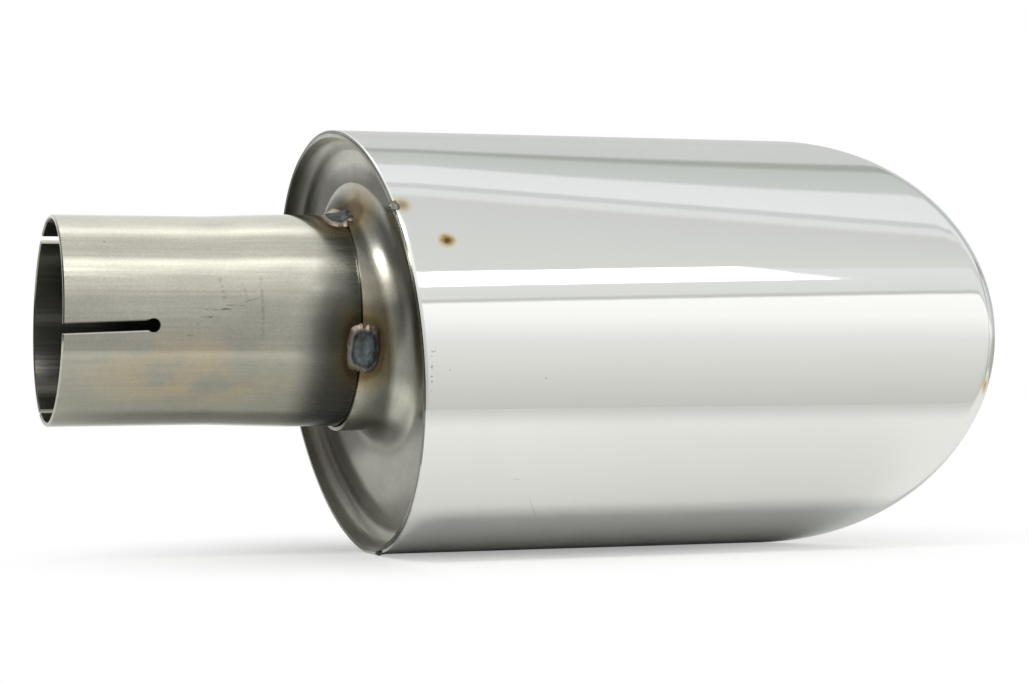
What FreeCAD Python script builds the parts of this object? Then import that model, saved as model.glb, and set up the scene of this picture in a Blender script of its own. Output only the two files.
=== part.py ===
import FreeCAD, Part
import os
import Sketcher

# Exhaust tip, in millimetres.
# A polished tube shell with a slash-cut, rolled-in outlet is closed at its inlet by a pressed end
# plate. A slotted inlet pipe passes through the plate's neck and is tacked to it by welds.
# The origin is the centre of the pipe's open end, +X runs along the pipe to the outlet and +Z is
# up. The shell's axis lies below the pipe's axis. A clock angle is measured about X from +Y to +Z.

DIMENSIONS = [
    ("shell_diameter", 120.0, "outside diameter of the shell"),
    ("shell_wall", 0.8, "sheet of the shell"),
    ("shell_drop", 6.35, "shell axis below pipe axis"),
    ("rim_station", 85.5, "shell's inlet rim on the shell axis"),
    ("rim_tilt", 7.0, "lean of the shell's inlet rim in degrees"),
    ("rim_clock", 237.5, "direction in which the inlet rim leans towards the outlet"),
    ("rim_bow", 1.0, "height of the inlet rim's bow over the shell's diameter"),
    ("slash_station", 217.1, "slash plane on the shell axis"),
    ("slash_angle", 39.8, "lean of the slash in degrees"),
    ("slash_clock", 177.4, "direction of the shell's long side"),
    ("lip_radius", 6.0, "bend of the rolled lip"),
    ("lip_width", 9.0, "reach of the lip in from the shell's outside"),
    ("plate_sheet", 1.0, "sheet of the end plate"),
    ("plate_station", 91.35, "front of the plate's face on the shell axis"),
    ("plate_tilt", 9.6, "lean of the plate's face in degrees"),
    ("plate_clock", 232.7, "direction in which the plate's face leans towards the outlet"),
    ("plate_corner", 4.0, "bend between the plate's face and flange"),
    ("flange_gap", 0.1, "clearance of the flange in the shell"),
    ("flange_station", 84.97, "rim of the plate's flange on the shell axis"),
    ("flange_tilt", 7.3, "lean of the flange's rim in degrees"),
    ("flange_clock", 234.0, "direction in which the flange's rim leans towards the outlet"),
    ("neck_station", 80.7, "rim of the plate's neck"),
    ("neck_root", 7.0, "bend between the plate's face and neck"),
    ("neck_gap", 0.4, "clearance of the pipe in the neck"),
    ("pipe_diameter", 58.0, "outside diameter of the pipe at its open end"),
    ("pipe_wall", 1.2, "wall of the pipe"),
    ("pipe_length", 108.0, "length of the pipe"),
    ("pipe_edge", 0.35, "bevel of the pipe's open end"),
    ("mouth_lean", 1.4, "lean of the pipe's open end in degrees"),
    ("mouth_clock", 90.0, "direction in which the open end leans towards the outlet"),
    ("swage_start", 43.0, "where the pipe begins to widen"),
    ("swage_length", 21.0, "stretch over which it widens"),
    ("swage_growth", 0.8, "growth of its radius"),
    ("slot_reach", 23.9, "pipe end to the centre of a slot's end hole"),
    ("slot_hole_margin", 1.2, "end hole's diameter over its slot's width"),
    ("near_slot_clock", 182.9, "clock angle of the near slot's end hole"),
    ("near_slot_width", 2.6, "width of the near slot"),
    ("near_slot_skew", 2.1, "lean of the near slot from the pipe's axis in degrees"),
    ("upper_slot_clock", 54.7, "clock angle of the upper slot's end hole"),
    ("upper_slot_width", 3.3, "width of the upper slot"),
    ("upper_slot_skew", 0.0, "lean of the upper slot from the pipe's axis in degrees"),
    ("lower_slot_clock", 295.9, "clock angle of the lower slot's end hole"),
    ("lower_slot_width", 2.2, "width of the lower slot"),
    ("lower_slot_skew", 0.0, "lean of the lower slot from the pipe's axis in degrees"),
    ("near_tack_clock", 195.2, "clock angle of the near tack between pipe and neck"),
    ("near_tack_length", 8.4, "size of the near tack along the pipe"),
    ("upper_tack_clock", 104.0, "clock angle of the upper tack"),
    ("upper_tack_length", 5.4, "size of the upper tack along the pipe"),
    ("far_tack_clock", 330.0, "clock angle of the far tack"),
    ("far_tack_length", 7.0, "size of the far tack along the pipe"),
    ("tack_width", 13.6, "size of such a tack round the pipe"),
    ("tack_height", 2.4, "height of such a tack over the pipe"),
    ("rim_tack_clock", 142.3, "clock angle of the first tack on the inlet rim"),
    ("rim_tack_spacing", 120.0, "angle from one such tack to the next"),
    ("rim_tack_length", 3.0, "size of a rim tack along the shell"),
    ("rim_tack_width", 4.6, "size of a rim tack round the shell"),
    ("rim_tack_proud", 0.5, "height of a rim tack over the shell"),
    ("rim_tack_setback", 0.8, "a rim tack's centre behind the rim"),
]
RIM_TACKS = 3

SHELL_RADIUS = "dims.shell_diameter / 2"
SHELL_BORE = "dims.shell_diameter / 2 - dims.shell_wall"
FLANGE_INSIDE = f"{SHELL_BORE} - dims.flange_gap - dims.plate_sheet"
PIPE_RADIUS = "dims.pipe_diameter / 2"
MOUTH_SPARE = "dims.pipe_diameter * tan(dims.mouth_lean * 1 deg)"
SWAGED_RADIUS = f"{PIPE_RADIUS} + dims.swage_growth"
NECK_BORE = f"{SWAGED_RADIUS} + dims.neck_gap"
NECK_OUTSIDE = f"{NECK_BORE} + dims.plate_sheet"
RIM_BOW_RADIUS = "((dims.shell_diameter / 2) ^ 2 + dims.rim_bow ^ 2) / (2 * dims.rim_bow)"
# A cutter or a blank runs past the piece by this much of the shell's diameter.
OVERRUN = "dims.shell_diameter"


def make_sheet(doc):
    sheet = doc.addObject("Spreadsheet::Sheet", "dims")
    sheet.Label = "dims"
    for row, (alias, value, note) in enumerate(DIMENSIONS, start=1):
        sheet.set(f"A{row}", alias)
        sheet.set(f"B{row}", str(value))
        sheet.set(f"C{row}", note)
        sheet.setAlias(f"B{row}", alias)
    doc.recompute()
    return sheet


def new_body(doc, name):
    body = doc.addObject("PartDesign::Body", name)
    body.Label = name
    return body


def plane_of(body, role):
    return next(feature for feature in body.Origin.OriginFeatures if feature.Role == role)


def cross_sketch(body, name, station="0"):
    """Sketch across the axis at a station along X; its x is +Y and its y is +Z."""
    sketch = body.newObject("Sketcher::SketchObject", name)
    sketch.AttachmentSupport = (plane_of(body, "YZ_Plane"), [""])
    sketch.MapMode = "FlatFace"
    sketch.setExpression("AttachmentOffset.Base.z", station)
    return sketch


def clocked_sketch(body, name, clock):
    """Sketch along the axis; its x is +X and its y points in the clock direction."""
    sketch = body.newObject("Sketcher::SketchObject", name)
    sketch.AttachmentSupport = (plane_of(body, "XY_Plane"), [""])
    sketch.MapMode = "FlatFace"
    turn = FreeCAD.Rotation(FreeCAD.Vector(1, 0, 0), 90)
    sketch.AttachmentOffset = FreeCAD.Placement(FreeCAD.Vector(), turn)
    sketch.setExpression("AttachmentOffset.Rotation.Angle", f"({clock}) * 1 deg")
    return sketch


def bind(sketch, index, name, expression):
    """Name a dimension of a sketch and tie it to the sheet."""
    sketch.renameConstraint(index, name)
    sketch.setExpression(f"Constraints.{name}", expression)


def add_circle(sketch, name, radius, rise=None):
    """Circle on the sketch's origin, or raised from it along the sketch's y."""
    centre = FreeCAD.Vector(0, 1 if rise else 0, 0)
    circle = sketch.addGeometry(Part.Circle(centre, FreeCAD.Vector(0, 0, 1), 10))
    bind(sketch, sketch.addConstraint(Sketcher.Constraint("Radius", circle, 10)), name, radius)
    if rise is None:
        sketch.addConstraint(Sketcher.Constraint("Coincident", circle, 3, -1, 1))
        return
    sketch.addConstraint(Sketcher.Constraint("PointOnObject", circle, 3, -2))
    lift = sketch.addConstraint(Sketcher.Constraint("DistanceY", -1, 1, circle, 3, 1))
    bind(sketch, lift, f"{name}_rise", rise)


def close_loop(sketch, lines):
    for line, following in zip(lines, lines[1:] + lines[:1]):
        sketch.addConstraint(Sketcher.Constraint("Coincident", line, 2, following, 1))


def add_lines(sketch, corners):
    """Closed outline of straight lines through rough corners, which constraints then place."""
    points = [FreeCAD.Vector(x, y, 0) for x, y in corners]
    pairs = zip(points, points[1:] + points[:1])
    lines = [sketch.addGeometry(Part.LineSegment(start, end)) for start, end in pairs]
    close_loop(sketch, lines)
    return lines


def add_leaning_cut(sketch, station, lean):
    """Outline of all that lies beyond a line through the station, leaning by an angle."""
    slope, top, back, bottom = add_lines(sketch, [(100, -200), (110, 200), (400, 200), (400, -200)])
    sketch.addConstraint(Sketcher.Constraint("Horizontal", top))
    sketch.addConstraint(Sketcher.Constraint("Vertical", back))
    sketch.addConstraint(Sketcher.Constraint("Horizontal", bottom))
    crossing = sketch.addGeometry(Part.Point(FreeCAD.Vector(105, 0, 0)), True)
    sketch.addConstraint(Sketcher.Constraint("PointOnObject", crossing, 1, -1))
    sketch.addConstraint(Sketcher.Constraint("PointOnObject", crossing, 1, slope))
    place = sketch.addConstraint(Sketcher.Constraint("DistanceX", -1, 1, crossing, 1, 105))
    bind(sketch, place, "station", station)
    angle = sketch.addConstraint(Sketcher.Constraint("Angle", slope, 1.5))
    bind(sketch, angle, "lean", f"90 deg - ({lean}) * 1 deg")
    high = sketch.addConstraint(Sketcher.Constraint("DistanceY", -1, 1, slope, 2, 200))
    bind(sketch, high, "high", OVERRUN)
    low = sketch.addConstraint(Sketcher.Constraint("DistanceY", slope, 1, -1, 1, 200))
    bind(sketch, low, "low", OVERRUN)
    depth = sketch.addConstraint(Sketcher.Constraint("DistanceX", crossing, 1, back, 1, 295))
    bind(sketch, depth, "depth", f"2 * {OVERRUN}")


def add_pad(body, name, sketch, length):
    pad = body.newObject("PartDesign::Pad", name)
    pad.Profile = sketch
    pad.setExpression("Length", length)
    return pad


def add_pocket(body, name, sketch, both_ways=False, along=False):
    """Cut right through: both ways from the sketch, or against or along its normal."""
    pocket = body.newObject("PartDesign::Pocket", name)
    pocket.Profile = sketch
    pocket.Type = "ThroughAll"
    pocket.Midplane = both_ways
    pocket.Reversed = along
    return pocket


def add_fillet(body, name, base, edges, radius):
    fillet = body.newObject("PartDesign::Fillet", name)
    fillet.Base = (base, edges)
    fillet.setExpression("Radius", radius)
    return fillet


def add_sheet_wall(body, name, base, open_face, wall, inward):
    """Hollow a solid to a sheet of even thickness, open at one face."""
    hollow = body.newObject("PartDesign::Thickness", name)
    hollow.Base = (base, [open_face])
    hollow.setExpression("Value", wall)
    hollow.Reversed = inward
    return hollow


def face_at_low_x(feature):
    """Name of the feature's flat face that lies furthest towards the inlet."""
    faces = feature.Shape.Faces
    lowest = min(range(len(faces)), key=lambda index: faces[index].CenterOfMass.x)
    return f"Face{lowest + 1}"


def rings_on_leaning_face(feature):
    """Edges of the feature's face that lies furthest towards the outlet, largest first."""
    shape = feature.Shape
    face = max(shape.Faces, key=lambda candidate: candidate.CenterOfMass.x)
    names = {}
    for index, edge in enumerate(shape.Edges, start=1):
        if any(edge.isSame(own) for own in face.Edges):
            names[f"Edge{index}"] = edge.Length
    return sorted(names, key=names.get, reverse=True)


def make_rim_cutter(doc, rim):
    """Solid of all that lies in front of a leaning, slightly bowed rim: the shell's or the flange's."""
    sketch = doc.addObject("Sketcher::SketchObject", f"{rim}_line")
    turn = FreeCAD.Rotation(FreeCAD.Vector(1, 0, 0), 90)
    sketch.Placement = FreeCAD.Placement(FreeCAD.Vector(), turn)
    sketch.setExpression("Placement.Base.z", "-dims.shell_drop")
    sketch.setExpression("Placement.Rotation.Angle", f"dims.{rim}_clock * 1 deg")
    centre = FreeCAD.Vector(-1700, 200, 0)
    circle = sketch.addGeometry(Part.Circle(centre, FreeCAD.Vector(0, 0, 1), 1800))
    radius = sketch.addConstraint(Sketcher.Constraint("Radius", circle, 1800))
    bind(sketch, radius, "bow_radius", RIM_BOW_RADIUS)
    back = sketch.addConstraint(Sketcher.Constraint("DistanceX", circle, 3, -1, 1, 1700))
    depth = f"({RIM_BOW_RADIUS}) * cos(dims.{rim}_tilt * 1 deg) - dims.{rim}_station"
    bind(sketch, back, "back", depth)
    side = sketch.addConstraint(Sketcher.Constraint("DistanceY", -1, 1, circle, 3, 200))
    bind(sketch, side, "side", f"({RIM_BOW_RADIUS}) * sin(dims.{rim}_tilt * 1 deg)")
    cutter = doc.addObject("Part::Extrusion", f"{rim}_cutter")
    cutter.Base = sketch
    cutter.DirMode = "Normal"
    cutter.Solid = True
    cutter.Symmetric = True
    cutter.setExpression("LengthFwd", f"2 * {OVERRUN}")
    return cutter


def make_cylinder(doc, name, radius, start, length, drop="0"):
    """Cylinder along X from a station, on the pipe's axis or dropped from it."""
    cylinder = doc.addObject("Part::Cylinder", name)
    turn = FreeCAD.Rotation(FreeCAD.Vector(0, 1, 0), 90)
    cylinder.Placement = FreeCAD.Placement(FreeCAD.Vector(), turn)
    cylinder.setExpression("Radius", radius)
    cylinder.setExpression("Height", length)
    cylinder.setExpression("Placement.Base.x", start)
    cylinder.setExpression("Placement.Base.z", f"-({drop})")
    return cylinder


def make_cut(doc, name, base, tool):
    cut = doc.addObject("Part::Cut", name)
    cut.Label = name
    cut.Base = base
    cut.Tool = tool
    return cut


def make_outer_shell(doc, rim_cutter):
    """Polished tube: slash cut, edge rolled inwards, hollowed and opened through the lip."""
    body = new_body(doc, "shell_tube")
    body.setExpression("Placement.Base.z", "-dims.shell_drop")
    outline = cross_sketch(body, "shell_outline", "dims.rim_station / 2")
    add_circle(outline, "shell_radius", SHELL_RADIUS)
    tube = add_pad(body, "shell_blank", outline, "dims.slash_station + dims.shell_diameter")
    slash = clocked_sketch(body, "slash_line", "dims.slash_clock")
    add_leaning_cut(slash, "dims.slash_station", "dims.slash_angle")
    cut = add_pocket(body, "slash_cut", slash, both_ways=True)
    doc.recompute()
    rolled = add_fillet(body, "rolled_edge", cut, rings_on_leaning_face(cut)[:1], "dims.lip_radius")
    doc.recompute()
    hollow = add_sheet_wall(body, "shell_sheet", rolled, face_at_low_x(rolled), "dims.shell_wall", True)
    mouth = cross_sketch(body, "mouth_outline", "dims.rim_station")
    add_circle(mouth, "mouth_radius", f"{SHELL_RADIUS} - dims.lip_width")
    add_pocket(body, "mouth_opening", mouth, along=True)
    return make_cut(doc, "outer_shell", body, rim_cutter)


def make_end_plate(doc):
    """Pressed plate: flange in the shell, leaning face, and a neck drawn out round the pipe."""
    body = new_body(doc, "plate_pressing")
    body.setExpression("Placement.Base.z", "-dims.shell_drop")
    hollow = cross_sketch(body, "plate_hollow", "dims.rim_station / 2")
    add_circle(hollow, "flange_inside", FLANGE_INSIDE)
    add_circle(hollow, "neck_outside", NECK_OUTSIDE, rise="dims.shell_drop")
    blank = add_pad(body, "plate_blank", hollow, "dims.plate_station + dims.shell_diameter")
    lean = clocked_sketch(body, "plate_line", "dims.plate_clock")
    add_leaning_cut(lean, "dims.plate_station", "dims.plate_tilt")
    face = add_pocket(body, "plate_face", lean, both_ways=True)
    doc.recompute()
    outer_ring = rings_on_leaning_face(face)[:1]
    corner = add_fillet(body, "plate_bend", face, outer_ring, "dims.plate_corner")
    doc.recompute()
    inner_ring = rings_on_leaning_face(corner)[-1:]
    root = add_fillet(body, "neck_bend", corner, inner_ring, "dims.neck_root")
    doc.recompute()
    add_sheet_wall(body, "plate_sheet_metal", root, face_at_low_x(root), "dims.plate_sheet", False)
    trim = cross_sketch(body, "neck_trim_outline", "dims.neck_station")
    add_circle(trim, "neck_trim_radius", f"({FLANGE_INSIDE} + {NECK_OUTSIDE}) / 2", rise="dims.shell_drop")
    add_pocket(body, "neck_trim", trim)
    guard = make_cylinder(
        doc,
        "neck_guard",
        f"({FLANGE_INSIDE} + {NECK_OUTSIDE}) / 2",
        "0",
        "dims.rim_station + dims.shell_diameter",
    )
    flange_trim = make_cut(doc, "flange_trim", make_rim_cutter(doc, "flange"), guard)
    return make_cut(doc, "end_plate", body, flange_trim)


def make_inlet_pipe(doc):
    """Tube with three keyhole clamp slots, a bevelled end and a gentle swage before the plate."""
    body = new_body(doc, "inlet_pipe")
    profile = body.newObject("Sketcher::SketchObject", "pipe_profile")
    profile.AttachmentSupport = (plane_of(body, "XY_Plane"), [""])
    profile.MapMode = "FlatFace"
    corners = [(-1, 29), (43, 29), (64, 30), (108, 30), (108, 28), (64, 28), (43, 27), (-1, 27)]
    lines = add_lines(profile, corners)
    outside, swage, seat, tail, seat_bore, swage_bore, bore, mouth = lines
    for line in (outside, seat, seat_bore, bore):
        profile.addConstraint(Sketcher.Constraint("Horizontal", line))
    for line in (tail, mouth):
        profile.addConstraint(Sketcher.Constraint("Vertical", line))
    dimensions = [
        ("DistanceX", outside, 1, -1, 1, 1, "spare", MOUTH_SPARE),
        ("DistanceY", -1, 1, outside, 1, 29, "end_radius", PIPE_RADIUS),
        ("DistanceY", -1, 1, seat, 1, 30, "seat_radius", SWAGED_RADIUS),
        ("DistanceX", -1, 1, outside, 2, 43, "straight", "dims.swage_start"),
        ("DistanceX", swage, 1, swage, 2, 21, "widening", "dims.swage_length"),
        ("DistanceX", -1, 1, seat, 2, 108, "whole", "dims.pipe_length"),
        ("DistanceY", mouth, 1, mouth, 2, 1, "mouth_wall", "dims.pipe_wall"),
        ("DistanceY", tail, 2, tail, 1, 1, "tail_wall", "dims.pipe_wall"),
        ("DistanceX", -1, 1, bore, 1, 43, "straight_bore", "dims.swage_start"),
        ("DistanceX", swage_bore, 2, swage_bore, 1, 21, "widening_bore", "dims.swage_length"),
    ]
    for kind, first, first_end, second, second_end, rough, name, expression in dimensions:
        constraint = Sketcher.Constraint(kind, first, first_end, second, second_end, rough)
        bind(profile, profile.addConstraint(constraint), name, expression)
    tube = body.newObject("PartDesign::Revolution", "pipe_tube")
    tube.Profile = profile
    tube.ReferenceAxis = (plane_of(body, "X_Axis"), [""])
    tube.Angle = 360
    add_mouth_cut(body)
    add_slot(body, "near")
    add_slot(body, "upper")
    slotted = add_slot(body, "lower")
    doc.recompute()
    rims = [
        f"Edge{index}"
        for index, edge in enumerate(slotted.Shape.Edges, start=1)
        if isinstance(edge.Curve, Part.Ellipse)
    ]
    bevel = body.newObject("PartDesign::Chamfer", "pipe_end_bevel")
    bevel.Base = (slotted, rims)
    bevel.setExpression("Size", "dims.pipe_edge")
    return body


def add_mouth_cut(body):
    """Cut that leaves the pipe's open end leaning slightly, with its centre on the origin."""
    sketch = clocked_sketch(body, "mouth_line", "dims.mouth_clock")
    slope, top, back, bottom = add_lines(sketch, [(-1, -58), (1, 58), (-58, 58), (-58, -58)])
    sketch.addConstraint(Sketcher.Constraint("Horizontal", top))
    sketch.addConstraint(Sketcher.Constraint("Vertical", back))
    sketch.addConstraint(Sketcher.Constraint("Horizontal", bottom))
    sketch.addConstraint(Sketcher.Constraint("PointOnObject", -1, 1, slope))
    angle = sketch.addConstraint(Sketcher.Constraint("Angle", slope, 1.55))
    bind(sketch, angle, "lean", "90 deg - dims.mouth_lean * 1 deg")
    reaches = [
        ("DistanceY", -1, 1, slope, 2, "high"),
        ("DistanceY", slope, 1, -1, 1, "low"),
        ("DistanceX", back, 1, -1, 1, "deep"),
    ]
    for kind, first, first_end, second, second_end, name in reaches:
        reach = Sketcher.Constraint(kind, first, first_end, second, second_end, 58)
        bind(sketch, sketch.addConstraint(reach), name, "dims.pipe_diameter")
    return add_pocket(body, "mouth_cut", sketch, both_ways=True)


def add_slot(body, place):
    """Keyhole clamp slot: a straight cut from the pipe's mouth, ended by a round hole."""
    clock = f"dims.{place}_slot_clock - 90"
    slot = clocked_sketch(body, f"{place}_slot_outline", clock)
    side, end, other_side, beyond = add_lines(slot, [(-4, -1), (24, -1), (24, 2), (-4, 2)])
    slot.addConstraint(Sketcher.Constraint("Parallel", side, other_side))
    slot.addConstraint(Sketcher.Constraint("Perpendicular", side, end))
    slot.addConstraint(Sketcher.Constraint("Perpendicular", side, beyond))
    centre = slot.addGeometry(Part.Point(FreeCAD.Vector(24, 0, 0)), True)
    slot.addConstraint(Sketcher.Constraint("PointOnObject", centre, 1, -1))
    slot.addConstraint(Sketcher.Constraint("Symmetric", end, 1, end, 2, centre, 1))
    reach = slot.addConstraint(Sketcher.Constraint("DistanceX", -1, 1, centre, 1, 24))
    bind(slot, reach, "reach", "dims.slot_reach")
    skew = slot.addConstraint(Sketcher.Constraint("Angle", side, 0.04))
    bind(slot, skew, "skew", f"dims.{place}_slot_skew * 1 deg")
    width = slot.addConstraint(Sketcher.Constraint("Distance", end, 2.6))
    bind(slot, width, "width", f"dims.{place}_slot_width")
    length = slot.addConstraint(Sketcher.Constraint("Distance", side, 28))
    bind(slot, length, "length", f"dims.slot_reach + 2 * dims.{place}_slot_width")
    add_pocket(body, f"{place}_slot_cut", slot, along=True)
    hole = clocked_sketch(body, f"{place}_slot_end_outline", clock)
    ring = hole.addGeometry(Part.Circle(FreeCAD.Vector(24, 0, 0), FreeCAD.Vector(0, 0, 1), 2))
    hole.addConstraint(Sketcher.Constraint("PointOnObject", ring, 3, -1))
    reach = hole.addConstraint(Sketcher.Constraint("DistanceX", -1, 1, ring, 3, 24))
    bind(hole, reach, "reach", "dims.slot_reach")
    size = hole.addConstraint(Sketcher.Constraint("Diameter", ring, 4))
    bind(hole, size, "size", f"dims.{place}_slot_width + dims.slot_hole_margin")
    return add_pocket(body, f"{place}_slot_end_cut", hole, along=True)


def make_bead(doc, name, clock, station, reach, along, around, tall):
    """Ellipsoid at a clock angle: its centre's station and radius, and its three half sizes."""
    bead = doc.addObject("Part::Ellipsoid", name)
    turn = FreeCAD.Rotation(FreeCAD.Vector(1, 0, 0), 45)
    bead.Placement = FreeCAD.Placement(FreeCAD.Vector(), turn)
    bead.setExpression("Placement.Rotation.Angle", f"({clock} - 90) * 1 deg")
    bead.setExpression("Placement.Base.x", station)
    bead.setExpression("Placement.Base.y", f"({reach}) * cos(({clock}) * 1 deg)")
    bead.setExpression("Placement.Base.z", f"({reach}) * sin(({clock}) * 1 deg)")
    bead.setExpression("Radius1", tall)
    bead.setExpression("Radius2", along)
    bead.setExpression("Radius3", around)
    return bead


def join(doc, name, shapes):
    fuse = doc.addObject("Part::MultiFuse", name)
    fuse.Shapes = shapes
    return fuse


def make_neck_tacks(doc, end_plate):
    """Beads that bridge the neck's rim to the pipe."""
    beads = []
    for place in ("near", "upper", "far"):
        bead = make_bead(
            doc,
            f"{place}_bead",
            f"dims.{place}_tack_clock",
            "dims.neck_station",
            SWAGED_RADIUS,
            f"dims.{place}_tack_length / 2",
            "dims.tack_width / 2",
            "dims.tack_height",
        )
        beads.append(bead)
    pipe_core = make_cylinder(doc, "pipe_core", SWAGED_RADIUS, "0", "dims.pipe_length")
    neck_core = make_cylinder(doc, "neck_core", NECK_OUTSIDE, "dims.neck_station", "dims.pipe_length")
    over_pipe = make_cut(doc, "beads_over_pipe", join(doc, "neck_beads", beads), pipe_core)
    over_neck = make_cut(doc, "beads_over_neck", over_pipe, neck_core)
    return make_cut(doc, "neck_tack_welds", over_neck, end_plate)


def make_rim_tacks(doc, rim_cutter, end_plate):
    """Small beads over the shell's rim that hold the flange."""
    radius = f"{SHELL_RADIUS} - dims.shell_wall"
    height = "dims.shell_wall + dims.rim_tack_proud"
    beads = []
    for index in range(RIM_TACKS):
        clock = f"dims.rim_tack_clock + {index} * dims.rim_tack_spacing"
        lean = f"cos(({clock} - dims.rim_clock) * 1 deg)"
        station = (
            f"dims.rim_station + ({radius}) * tan(dims.rim_tilt * 1 deg) * {lean}"
            f" - dims.rim_bow * {lean} ^ 2 + dims.rim_tack_setback"
        )
        bead = make_bead(
            doc,
            f"rim_bead_{index + 1}",
            clock,
            station,
            radius,
            "dims.rim_tack_length / 2",
            "dims.rim_tack_width / 2",
            height,
        )
        beads.append(bead)
    rim_beads = join(doc, "rim_beads", beads)
    rim_beads.setExpression("Placement.Base.z", "-dims.shell_drop")
    flange_core = make_cylinder(
        doc,
        "flange_core",
        f"{FLANGE_INSIDE} + dims.plate_sheet / 2",
        "dims.rim_station / 2",
        "dims.rim_station",
        "dims.shell_drop",
    )
    plug = make_cylinder(
        doc,
        "shell_plug_blank",
        SHELL_RADIUS,
        "dims.rim_station / 2",
        "dims.rim_station",
        "dims.shell_drop",
    )
    shell_plug = make_cut(doc, "shell_plug", plug, rim_cutter)
    over_core = make_cut(doc, "beads_over_core", rim_beads, flange_core)
    over_shell = make_cut(doc, "beads_over_shell", over_core, shell_plug)
    return make_cut(doc, "rim_tack_welds", over_shell, end_plate)


def check(doc, parts):
    for item in doc.Objects:
        if any(state in item.State for state in ("Invalid", "Error")):
            raise RuntimeError(f"{item.Label} failed: {item.State}")
    for part in parts:
        if part.Shape.isNull() or not part.Shape.isValid():
            raise RuntimeError(f"{part.Label} has no valid shape")


def main():
    doc = FreeCAD.newDocument("exhaust_tip")
    make_sheet(doc)
    rim_cutter = make_rim_cutter(doc, "rim")
    outer_shell = make_outer_shell(doc, rim_cutter)
    end_plate = make_end_plate(doc)
    inlet_pipe = make_inlet_pipe(doc)
    neck_tacks = make_neck_tacks(doc, end_plate)
    rim_tacks = make_rim_tacks(doc, rim_cutter, end_plate)
    doc.recompute()
    parts = [outer_shell, end_plate, inlet_pipe, neck_tacks, rim_tacks]
    check(doc, parts)
    os.makedirs("parts", exist_ok=True)
    for part in parts:
        part.Shape.exportStep(f"parts/{part.Label}.step")
        box = part.Shape.BoundBox
        print(part.Label, len(part.Shape.Solids), round(part.Shape.Volume, 1), box)


main()
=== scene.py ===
import math

import bpy
import numpy as np
from mathutils import Euler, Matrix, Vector, noise


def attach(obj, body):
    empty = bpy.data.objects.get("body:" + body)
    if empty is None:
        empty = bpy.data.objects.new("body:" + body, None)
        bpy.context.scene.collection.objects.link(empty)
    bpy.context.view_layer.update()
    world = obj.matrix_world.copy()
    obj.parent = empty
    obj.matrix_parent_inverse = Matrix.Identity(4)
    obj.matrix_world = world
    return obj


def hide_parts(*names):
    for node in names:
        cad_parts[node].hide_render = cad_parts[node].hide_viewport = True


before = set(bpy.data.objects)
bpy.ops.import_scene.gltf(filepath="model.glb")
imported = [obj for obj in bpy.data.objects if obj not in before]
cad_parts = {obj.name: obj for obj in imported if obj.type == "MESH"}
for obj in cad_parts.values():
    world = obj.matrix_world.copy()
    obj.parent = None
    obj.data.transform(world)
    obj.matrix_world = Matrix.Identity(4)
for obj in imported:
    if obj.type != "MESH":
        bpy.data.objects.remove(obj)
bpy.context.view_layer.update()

# Exhaust tip, in metres: +X runs along the pipe to the outlet, +Z is up and the camera stands at -Y.
# A clock angle is measured about X from +Y to +Z. Sizes whose names don't say otherwise are in mm.

MM = 0.001

# Shell

SHELL_RADIUS = 60.0
SHELL_WALL = 0.8
SHELL_DROP = 6.35
RIM = {"station": 85.5, "tilt": 7.0, "clock": 237.5, "bow": 1.0}
SLASH_STATION = 217.1
SLASH_ANGLE = math.radians(39.8)
SLASH_CLOCK = math.radians(177.4)
LIP_RADIUS = 6.0
OPENING_RADIUS = 51.0
SHELL_COLUMNS = 480
RIM_DISTANCES = (0.0, 0.12, 0.3, 0.6, 1.0, 1.6, 2.4, 3.6, 5.2, 7.5)
RIM_ROLL = 0.03
RIM_ROLL_REACH = 1.1
BODY_ROWS = 44
LIP_ROWS = 30
INSIDE_ROWS = 22

# Pipe, neck and welds

PIPE_RADIUS = 29.0
PIPE_SEAT_RADIUS = 29.8
NECK_RADIUS = 31.2
NECK_TACKS = (
    # clock, centre along X, half length, half width round the pipe, lift, crater along X, crater round
    (195.2, 81.3, 4.7, 7.3, 1.0, -1.3, -3.3),
    (108.0, 79.6, 4.9, 6.6, 0.9, 2.6, 1.5),
    (330.0, 81.0, 4.2, 6.8, 1.0, -1.0, 2.4),
)
TACK_RINGS = 22
TACK_SPOKES = 96
RIM_TACK_CLOCK = 142.3
RIM_TACKS = 3
RIM_TACK_SIZE = (1.25, 1.7, 0.55)
RIM_TACK_SETBACK = 0.2
RIM_TACK_SINK = 0.25
RIM_TACK_RINGS = 14
RIM_TACK_SPOKES = 40
NECK_RIM_ROUNDING = (79.4, 82.4)

# Camera

CAMERA_PLACE = (-0.0967386, -0.6866283, -0.0055132)
CAMERA_TURN = (89.9416, 0.1738, -18.5986)
CAMERA_LENS = 87.479

# Studio. Angles are in degrees about X above the front; the swing is a direction's share along X.

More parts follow.
